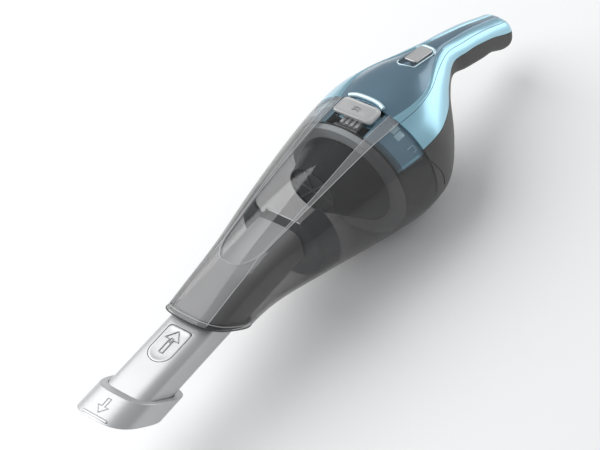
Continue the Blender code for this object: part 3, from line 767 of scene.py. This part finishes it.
def make_bowl():
    ahead, tip, behind = bowl_stations()
    bowl = wall(
        "bowl_skin", ahead + tip + behind, leaning_skin, lambda x, a: leaning_skin(x, a, WALL),
        BOWL_LOOKS, "dust_bowl", span=beside_window, around=120, slot=bowl_slot,
    )
    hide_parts("dust_bowl")
    pane = wall(
        "window_pane", tip + behind,
        lambda x, a: leaning_skin(x, a, PART_GAP), lambda x, a: leaning_skin(x, a, WALL),
        [CLEAR], "dust_bowl", span=lambda x: (-facet_half(x), facet_half(x)), around=40,
    )
    notch_low = (box_mm("release_button")[0].x - 2.4, -NOTCH_HALF, 100)
    cut(pane, block("notch", notch_low, (SEAM_X + 3, NOTCH_HALF, 140), [CLEAR], "dust_bowl"))
    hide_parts("bowl_window")
    for side, name in SIDES:
        facet = wall(
            "window_facet_" + name, tip[1:] + behind,
            lambda x, a: leaning_skin(x, a, -0.1), lambda x, a: leaning_skin(x, a, WALL),
            [FACET], "dust_bowl", around=8,
            span=lambda x, s=side: tuple(sorted((s * (facet_half(x) + 0.1), s * window_half(x)))),
        )
    # Painted highlights: pale beads along the window's edges, the nose's creases and the facets' inner edges.
    for side, name in SIDES:
        tail = [leaning_skin(x, side * window_half(x), -0.05) for x in tip[4:] + behind]
        ahead_line = [leaning_skin(x, side * CREASE_ANGLE, 0.0) for x in ahead[1:]]
        bead("window_edge_" + name, tail, 0.3, EDGE_GLINT, "dust_bowl")
        bead("nose_crease_" + name, ahead_line + [tail[4]], 0.28, EDGE_GLINT, "dust_bowl")
        inner_edge = [leaning_skin(x, side * facet_half(x), 0.1) for x in tip[4:] + behind]
        bead("facet_edge_" + name, inner_edge, 0.25, EDGE_GLINT, "dust_bowl")
    # Painted highlight along the window's round front edge.
    front_line = [leaning_skin(x, side * window_half(x), -0.02)
                  for side, xs in ((1, tip[::-1]), (-1, tip[1:])) for x in xs]
    bead("window_tip_edge", front_line, 0.3, EDGE_GLINT, "dust_bowl")
    bezel_turns = even_angles(grown(DUCT_HALF, DUCT_WALL), TOOL_SQUARENESS, 96)
    bezel = wall(
        "mouth_rim", [MOUTH_X + 0.3, MOUTH_X + 2, MOUTH_X + 5.5],
        lambda x, a: leaning_skin(x, a, WALL + 0.3),
        lambda x, a: tube_point(grown(DUCT_HALF, DUCT_WALL + 0.3), x, a, LEAN),
        [DARK], "dust_bowl", angles=bezel_turns,
    )
    # The mouth_line bead is a painted highlight round the mouth.
    for name, back, radius, look in (("mouth_lip", 0.5, 0.55, DARK), ("mouth_line", 5.2, 0.3, EDGE_GLINT)):
        ring = [leaning_skin(MOUTH_X + back, 3 * i, 0.1) for i in range(120)]
        bead(name, ring, radius, look, "dust_bowl", cyclic=True)
    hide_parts("mouth_bezel")


def round_band(x):
    return BAND_ANGLE, 360 - BAND_ANGLE


def make_duct():
    rear = box_mm("intake_duct")[1].x - 3
    lip = rear - 9
    front = MOUTH_X + 1.0
    turns = even_angles(DUCT_HALF, TOOL_SQUARENESS, 80)
    # Painted shade: the duct's inside and a band round its rear end are dark, standing in for the shade in
    # its opening.
    duct = wall(
        "duct_skin", [front, front + 40, lip, lip + 0.1, rear],
        lambda x, a: tube_point(grown(DUCT_HALF, DUCT_WALL), x, a, LEAN if x == front else 0),
        lambda x, a: tube_point(DUCT_HALF, x, a, LEAN if x == front else 0),
        [DUCT_GREY, DARK], "dust_bowl", angles=turns,
        slot=lambda x, share, inside: 1 if inside or x > lip else 0,
    )
    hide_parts("intake_duct")
    band = wall(
        "duct_band", steps(box_mm("duct_support")[1].x, box_mm("duct_cradle")[1].x, 6),
        lambda x, a: leaning_skin(x, a, WALL + 0.3), lambda x, a: leaning_skin(x, a, WALL + 1.9),
        [BAND_GREY], "dust_bowl", span=round_band, around=72, bevel=0.4,
    )
    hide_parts("duct_cradle")
    low, high = box_mm("duct_support")
    web = wall(
        "duct_web", [low.x + 0.2, high.x - 0.2],
        lambda x, a: leaning_skin(x, a, WALL + 0.4),
        lambda x, a: tube_point(grown(DUCT_HALF, DUCT_WALL + 0.3), x, a),
        [BAND_GREY], "dust_bowl", span=round_band, around=72,
    )
    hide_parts("duct_support")


PLEATS = 36


def cup_circle(x, angle, inset, ripple=0.0):
    """Point on the filter cup's cone, moved inwards by inset and rippled for the pleats."""
    t = (x - CUP_REAR[0]) / (CUP_FRONT[0] - CUP_REAR[0])
    centre = CUP_REAR[1] + (CUP_FRONT[1] - CUP_REAR[1]) * t
    radius = CUP_REAR[2] + (CUP_FRONT[2] - CUP_REAR[2]) * t - inset
    radius += ripple * math.cos(math.radians(angle * PLEATS))
    a = math.radians(angle)
    return Vector((x, -radius * math.sin(a), centre + radius * math.cos(a)))


def make_filter():
    cup = wall(
        "cup_skin", steps(CUP_FRONT[0], CUP_REAR[0], 8),
        lambda x, a: cup_circle(x, a, 0), lambda x, a: cup_circle(x, a, 1.4),
        [SMOKE_DEEP], "dust_bowl", around=96,
    )
    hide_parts("filter_cup")
    low, high = box_mm("filter_screen")
    middle, radius = (low.z + high.z) / 2, (high.z - low.z) / 2
    screen = turned(
        "screen_disc", [(low.x + 0.3, 0.01), (low.x + 0.3, radius), (high.x, radius), (high.x, 0.01)],
        middle, [SCREEN], "dust_bowl",
    )
    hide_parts("filter_screen")
    for i in range(6):
        a = math.radians(60 * i + 15)
        across, out = Vector((0, math.cos(a), -math.sin(a))), Vector((0, math.sin(a), math.cos(a)))

        def on_disc(r, w, t, across=across, out=out):
            return Vector((low.x + 0.35 - 1.0 * t, 0, middle)) + out * r + across * w

        rib = [(0.5, -0.7), (radius, -0.7), (radius, 0.7), (0.5, 0.7)]
        slab("screen_rib_%d" % (i + 1), rib, on_disc, [RIB_GREY], "dust_bowl", bevel=0.2)
    low, high = box_mm("pleated_filter")
    pleats = wall(
        "pleat_skin", steps(low.x, high.x, 6),
        lambda x, a: cup_circle(x, a, 4.2, 1.8), lambda x, a: cup_circle(x, a, 8.5, 1.8),
        [CLOTH], "dust_bowl", around=PLEATS * 8, sharp=60,
    )
    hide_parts("pleated_filter")
    low, high = box_mm("filter_ring")
    ring = wall(
        "ring_skin", [low.x, low.x + 1.2, high.x - 1.2, high.x],
        lambda x, a: skin(x, a, WALL + 1.3),
        lambda x, a: cup_circle(CUP_REAR[0], a, 4) + Vector((x - CUP_REAR[0], 0, 0)),
        [GREY], "dust_bowl", around=128, bevel=0.5,
    )
    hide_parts("filter_ring")
    low, high = box_mm("filter_seal")
    seal = wall(
        "seal_skin", [low.x, high.x], lambda x, a: skin(x, a, WALL + 1.5), lambda x, a: skin(x, a, WALL + 6),
        [RUBBER], "dust_bowl", around=128,
    )
    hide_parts("filter_seal")


# ------ housing

def end_inset(x):
    """The handle's end is rounded."""
    t = min(max((x - HANDLE_END_X + END_ROUND) / (END_ROUND + 1.5), 0), 1)
    return END_ROUND * (1 - math.sqrt(1 - t * t))


def cover_stations(first, count):
    """Stations from first to the handle's end, closer together where it is rounded."""
    bend = HANDLE_END_X - END_ROUND
    return steps(first, bend, count) + steps(bend, HANDLE_END_X + 1, 9)[1:]


def cover_point(x, angle):
    """The covers' outer face: the top panel sinks a little inside its crease."""
    a = (angle + 180) % 360 - 180
    share = min(abs(a) / along(CREASE, x), 1.3)
    sink = PANEL_SINK * smooth_step(0.55, 0.98, share) * (1 - smooth_step(1.0, 1.12, share))
    return skin(x, angle, sink + end_inset(x))


def cover_inner(x, angle):
    return skin(x, angle, WALL + end_inset(x))


def part_at(line, x, offset):
    """A part line's angle, moved by half the gap to one side (offset -1) or the other (1)."""
    return along(line, x) + offset * math.degrees(PART_GAP / 2 / along(HALF_WIDTH, x))


def crease_turns(x, last, count):
    """Angles from one parting line over the top to the other, close together at the crease."""
    crease = along(CREASE, x)
    side = [crease * m for m in CREASE_MARKS if crease * m < last * 0.97]
    while len(side) < count - 1:
        side.append(side[-1] + (last - side[-1]) / (count - len(side)))
    side.append(last)
    return [-a for a in reversed(side[1:])] + side


def left_flank(x):
    return part_at(TOP_PART, x, 1), part_at(SIDE_PART, x, -1)


def right_flank(x):
    first, last = left_flank(x)
    return 360 - last, 360 - first


def below(x):
    edge = part_at(SIDE_PART, x, 1)
    return edge, 360 - edge


def make_top(xs):
    """The top panel: dark blue inside its crease and light blue beyond it."""
    points, faces, slots = [], [], []
    per_side = 14
    for x in xs:
        turns = crease_turns(x, part_at(TOP_PART, x, -1), per_side)
        points += [cover_point(x, a) for a in turns] + [cover_inner(x, a) for a in turns]
    count = 2 * per_side - 1
    row = 2 * count
    for k in range(len(xs) - 1):
        a, b = k * row, (k + 1) * row
        for i in range(count - 1):
            faces += [(a + i, a + i + 1, b + i + 1, b + i),
                      (a + count + i + 1, a + count + i, b + count + i, b + count + i + 1)]
            beyond = abs(i + 0.5 - (per_side - 1)) > CREASE_MARKS.index(1.0)
            slots += [1 if beyond else 0, 0]
        for e in (0, count - 1):
            faces.append((a + e, b + e, b + count + e, a + count + e))
            slots.append(1)
    for start in (0, (len(xs) - 1) * row):
        for i in range(count - 1):
            faces.append((start + i, start + count + i, start + count + i + 1, start + i + 1))
            slots.append(0)
    top = piece("top_skin", points, faces, [BLUE, LIGHT_BLUE], "housing", slots, sharp=30)
    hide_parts("top_cover")


def make_end_cap():
    """The dome that closes the handle round its charge socket."""
    low, high = box_mm("charge_socket")
    centre, radius = (low.z + high.z) / 2, 3.6

    def socket_hole(x, angle):
        a = math.radians(angle)
        return Vector((x, -radius * math.sin(a), centre + radius * math.cos(a)))

    rear = HANDLE_END_X + 1
    insets = {rear + 0.05: 6.4, rear + 0.5: 6.7, rear + 1.0: 7.6}
    cap = wall("end_dome", list(insets), lambda x, a: skin(x, a, insets[x]), socket_hole, [CHARCOAL],
               "housing", around=72)
    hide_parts("handle_end_cap")


def make_covers():
    front = SEAM_X + SEAM_GAP
    xs = cover_stations(front, 56)
    make_top(xs)
    for name, span in (("left", left_flank), ("right", right_flank)):
        flank = wall("flank_" + name, xs, cover_point, cover_inner, [LIGHT_BLUE], "housing", span=span,
                     around=22, bevel=0.25)
        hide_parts("side_cover_" + name)
    lower = wall("lower_skin", steps(front, NECK_X, 34), cover_point, cover_inner, [CHARCOAL], "housing",
                 span=below, around=72, bevel=0.25)
    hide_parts("lower_housing")
    make_end_cap()
    grip = wall("grip_skin", cover_stations(NECK_X + 0.4, 24), cover_point, cover_inner, [GRIP], "housing",
                span=below, around=56, bevel=0.3)
    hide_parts("handle_grip")


def make_exhaust():
    """A crescent slot behind the seam on each side lets the air out."""

    def edge(bulge):
        return [(SEAM_X + 1.6 + bulge * math.sin(math.pi * t) + 10.5 * t * t, 70 + 32 * t)
                for t in steps(0, 1, 14)]

    rear = edge(4.5)
    crescent = edge(0) + rear[::-1][1:-1]
    # Painted shade: each slot is a dark crescent laid on the skin, standing in for the shade in its opening.
    for side, name in SIDES:
        pad("exhaust_slot_" + name, crescent, [(0, -0.8), (0, 0.05)],
            lambda a, b, h, k=side: skin(a, k * b, -h), [DARK], "housing")
        bead("exhaust_lip_" + name, [skin(a, side * b, -0.1) for a, b in rear], 0.45, DARK, "housing")


def make_coupling():
    low, high = box_mm("coupling_ring")

    def colour(x, share, inside):
        turn = share * 360
        return 0 if min(turn, 360 - turn) < COUPLING_ANGLE else 1

    ring = wall(
        "coupling_skin", steps(low.x, high.x, 5),
        lambda x, a: skin(x, a, COUPLING_INSET), lambda x, a: skin(x, a, WALL + 3.0),
        [COUPLING_BLUE, CHARCOAL], "housing", around=180, slot=colour,
    )
    cut(ring, block("latch_room", (low.x - 2, -LATCH_ROOM_HALF, 95), (high.x + 2, LATCH_ROOM_HALF, 140),
                    [BLUE], "housing"))
    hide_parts("coupling_ring")
    for side, name in SIDES:
        for k, turn in enumerate((31.0, 37.5)):
            tile = moved(round_box(9.0, 5.2, 0.8, 3), SEAM_X - 6 - 1.5 * k)
            pad("coupling_tile_%s_%d" % (name, k + 1), tile, [(0, -0.5), (0, 0.3), (0.4, 0.5)],
                lambda a, b, h, t=side * turn: skin(a, t + b * 1.1, COUPLING_INSET - h),
                [EDGE_BLUE], "housing")
        strip = moved(round_box(high.x - low.x - 8, 2.0, 0.6, 3), (low.x + high.x) / 2 - 4)
        pad("coupling_strip_" + name, strip, [(0, -0.5), (0, 0.4), (0.4, 0.6)],
            lambda a, b, h, t=side * (COUPLING_ANGLE - 2): skin(a, t + b, COUPLING_INSET - h),
            [LIGHT_BLUE], "housing")
        for k, turn in enumerate((22.0, 50.0)):
            hook = [(0, 0), (7, 0), (7, 5), (3.5, 5)]
            line = [skin(SEAM_X - 11 + a, side * (turn + b), WALL + 0.6) for a, b in hook]
            bead("bayonet_%s_%d" % (name, k + 1), line, 0.45, EDGE_BLUE if k else LIGHT_BLUE, "housing")


def make_latch():
    low, high = box_mm("release_button")
    middle, half = (low.x + high.x) / 2 - 0.8, (high.x - low.x) / 2 + 0.8
    width = high.y - low.y
    outline = moved(round_box(2 * half, width, 4.5), middle)
    button = pad(
        "release_key", outline,
        [(0.3, -0.3), (0, 1.6), (0.15, 2.6), (0.6, 3.1), (1.4, 3.2), (2.0, 2.85), (3.2, 2.65),
         (5.5, 2.7), (7.4, 2.75)],
        on_skin, [SILVER, SILVER_KEY], "release_button", [0, 0, 0, 0, 1, 1, 1, 1],
    )
    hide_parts("release_button")
    chevron = [(0, -3.2), (1.6, 0), (0, 3.2), (-0.9, 3.2), (0.7, 0), (-0.9, -3.2)]
    for k in range(2):
        pad("release_mark_%d" % (k + 1), moved(chevron, middle - 2.5 + 3 * k), [(0, 2.6), (0, 2.85)],
            on_skin, [MARK], "release_button")

    low, high = box_mm("latch_hook")
    comb = [(-9.5, -2.2)]
    for i in range(4):
        left = -9.5 + 5 * i
        comb += [(left, 0), (left + 0.3, 2), (left + 3.2, 2), (left + 3.5, 0)]
    comb += [(9.5, 0), (9.5, -2.2)]
    hook = slab("hook_comb", comb, lambda a, b, t: (low.x + t * (high.x - low.x), a, high.z - 2 + b),
                [SILVER_KEY], "release_button", bevel=0.3)
    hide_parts("latch_hook")

    low, high = box_mm("bowl_catch")
    bar_z, bar_x, radius = (low.z + high.z) / 2, (low.x + high.x) / 2, (high.z - low.z) / 2
    line = [(bar_x, low.y + t * (high.y - low.y), bar_z + 0.6) for t in (0, 0.03, 0.5, 0.97, 1)]
    bar = bead("catch_bar", line, radius + 0.3, CHARCOAL, "dust_bowl")
    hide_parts("bowl_catch")

    low, high = box_mm("latch_tray")
    tray = slab("tray_floor", round_box(high.x - low.x, high.y - low.y, 1.5),
                lambda a, b, t: ((low.x + high.x) / 2 + a, b, low.z + t * (high.z - low.z)),
                [LIGHT_BLUE], "housing", bevel=0.3)
    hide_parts("latch_tray")
    for side, name in SIDES:
        edge = side * (high.y + 0.1)
        block("tray_wall_" + name, (low.x, min(edge, edge + side * 0.9), low.z),
              (SEAM_X - 0.5, max(edge, edge + side * 0.9), high.z + 1.4), [LIGHT_BLUE], "housing", bevel=0.25)

    bay = []
    for t in steps(3, 177, 33):
        s, c = math.sin(math.radians(t)), math.cos(math.radians(t))
        a, b = middle + (half + 6.0) * s ** 0.6 - 0.5, -(width / 2 + 2.2) * math.copysign(abs(c) ** 0.55, c)
        if a > SEAM_X + 1.2:
            bay.append((a, b))
    bead("release_bezel", [on_skin(a, b, 1.4) for a, b in bay], 2.0, EDGE_BLUE, "housing")
    # Painted shade: a dark blue patch laid flush on the skin stands in for the shade in the recess round the
    # key.
    bay = [(SEAM_X + 0.8, bay[0][1])] + bay + [(SEAM_X + 0.8, bay[-1][1])]
    pad("release_bay", bay, [(0, -0.8), (0, 0.08)], on_skin, [RECESS_SHADE_BLUE], "housing")


def make_switch():
    low, high = box_mm("power_switch")
    middle, half = (low.x + high.x) / 2 + 0.8, (high.x - low.x) / 2 + 1.8
    width = high.y - low.y
    outline = moved(round_box(2 * half, width, 2.6), middle)
    key = pad(
        "switch_key", outline,
        [(0.2, -0.4), (0, 0.6), (0.1, 1.5), (0.5, 2.0), (1.2, 2.1), (1.8, 1.9), (3.5, 1.75), (6.2, 1.7)],
        on_skin, [SILVER, SILVER_KEY], "power_switch", [0, 0, 0, 0, 1, 1, 1],
    )
    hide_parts("power_switch")
    dot = moved(round_box(1.4, 4, 0.6, 3), middle)
    pad("switch_mark", dot, [(0, 1.6), (0, 1.85)], on_skin, [MARK], "power_switch")
    # Painted shade: the bay round the switch is a dark blue patch laid flush on the skin, standing in for the
    # shade in its recess.
    bay_middle = middle - 3.6
    bay = moved(round_box(2 * half + 9.5, width + 3, 4), bay_middle)
    pad("switch_bay", bay, [(0, -0.6), (0, 0.06)], on_skin, [RECESS_SHADE_BLUE], "housing")
    rim = moved(round_box(2 * half + 12, width + 4.0, 5.5), bay_middle)
    line = [on_skin(a, b, 0.25) for a, b in rim if a > middle - half - 7 or b > 0]
    start = max(range(len(line)), key=lambda i: (line[i] - line[i - 1]).length)
    line = line[start:] + line[:start]
    bead("switch_rim", line, 0.6, EDGE_BLUE, "housing")
    crest = [p for p in line if p.x > middle + half - 4]
    bead("switch_crest", crest, 1.5, EDGE_BLUE, "housing")


# ------ inner CAD nodes and stage

PLAIN_LOOKS = (
    (DARK, ("inlet_plate", "fan_shroud", "impeller", "motor_mount", "battery_cap_left",
            "battery_cap_right", "switch_body", "charge_socket", "vent_left", "vent_right")),
    (STEEL, ("motor_can", "motor_shaft", "release_spring", "flap_pin", "screw_1", "screw_2", "screw_3",
             "screw_4")),
    (RUBBER, ("intake_flap",)),
    (SLEEVE, ("battery_cell_1", "battery_cell_2", "battery_cell_3")),
    (BOARD, ("control_board",)),
)


def dress_cad():
    """Gives the CAD nodes that are shown as they are a look."""
    for look, names in PLAIN_LOOKS:
        for name in names:
            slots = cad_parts[name].data.materials
            for i in range(len(slots)):
                slots[i] = look


def make_stage():
    half, level = 6.0, -0.0005
    corners = ((-half, -half), (half, -half), (half, half), (-half, half))
    mesh = bpy.data.meshes.new("floor")
    mesh.from_pydata([(x, y, level) for x, y in corners], [], [(0, 1, 2, 3)])
    floor = bpy.data.objects.new("floor", mesh)
    bpy.context.scene.collection.objects.link(floor)
    mesh.materials.append(plastic("pale_floor", (0.93, 0.93, 0.93), 0.7, relief=0.0, mottle=0.004))


def area_light(name, place, aim, size, power):
    data = bpy.data.lights.new(name, "AREA")
    data.shape = "RECTANGLE"
    data.size, data.size_y = size
    data.energy = power
    lamp = bpy.data.objects.new(name, data)
    lamp.location = place
    lamp.rotation_euler = (Vector(aim) - Vector(place)).to_track_quat("-Z", "Y").to_euler()
    bpy.context.scene.collection.objects.link(lamp)


def make_light():
    world = bpy.data.worlds.new("studio")
    world.use_nodes = True
    put(world.node_tree.nodes["Background"], Color=(0.96, 0.98, 1.0, 1), Strength=0.42)
    bpy.context.scene.world = world
    centre = (-0.08, 0, 0.06)
    area_light("overhead", (-0.45, 0.95, 1.3), centre, (2.0, 1.7), 30)
    area_light("right_box", (1.5, -0.6, 0.42), centre, (1.3, 1.0), 7.0)


VIEW_AZIMUTH, VIEW_ELEVATION, VIEW_ROLL = -44.5, 46.45, -12.0
VIEW_AIM = Vector((-0.1135, 0.0, 0.0702))
VIEW_DISTANCE = 1.5
VIEW_LENS = 109.5


def make_camera():
    a, e, r = (math.radians(v) for v in (VIEW_AZIMUTH, VIEW_ELEVATION, VIEW_ROLL))
    back = Vector((math.sin(a) * math.cos(e), -math.cos(a) * math.cos(e), math.sin(e)))
    across = Vector((0, 0, 1)).cross(back).normalized()
    up = back.cross(across)
    right = math.cos(r) * across + math.sin(r) * up
    rise = -math.sin(r) * across + math.cos(r) * up
    data = bpy.data.cameras.new("view")
    data.lens = VIEW_LENS
    data.sensor_width = 36
    data.clip_end = 50
    camera = bpy.data.objects.new("view", data)
    turn = Matrix((right, rise, back)).transposed().to_4x4()
    camera.matrix_world = Matrix.Translation(VIEW_AIM + back * VIEW_DISTANCE) @ turn
    bpy.context.scene.collection.objects.link(camera)
    bpy.context.scene.camera = camera
    bpy.context.scene.view_settings.view_transform = "Standard"


def main():
    make_camera()
    make_light()
    make_stage()
    dress_cad()
    make_nozzle()
    make_bowl()
    make_duct()
    make_filter()
    make_covers()
    make_exhaust()
    make_coupling()
    make_latch()
    make_switch()


main()
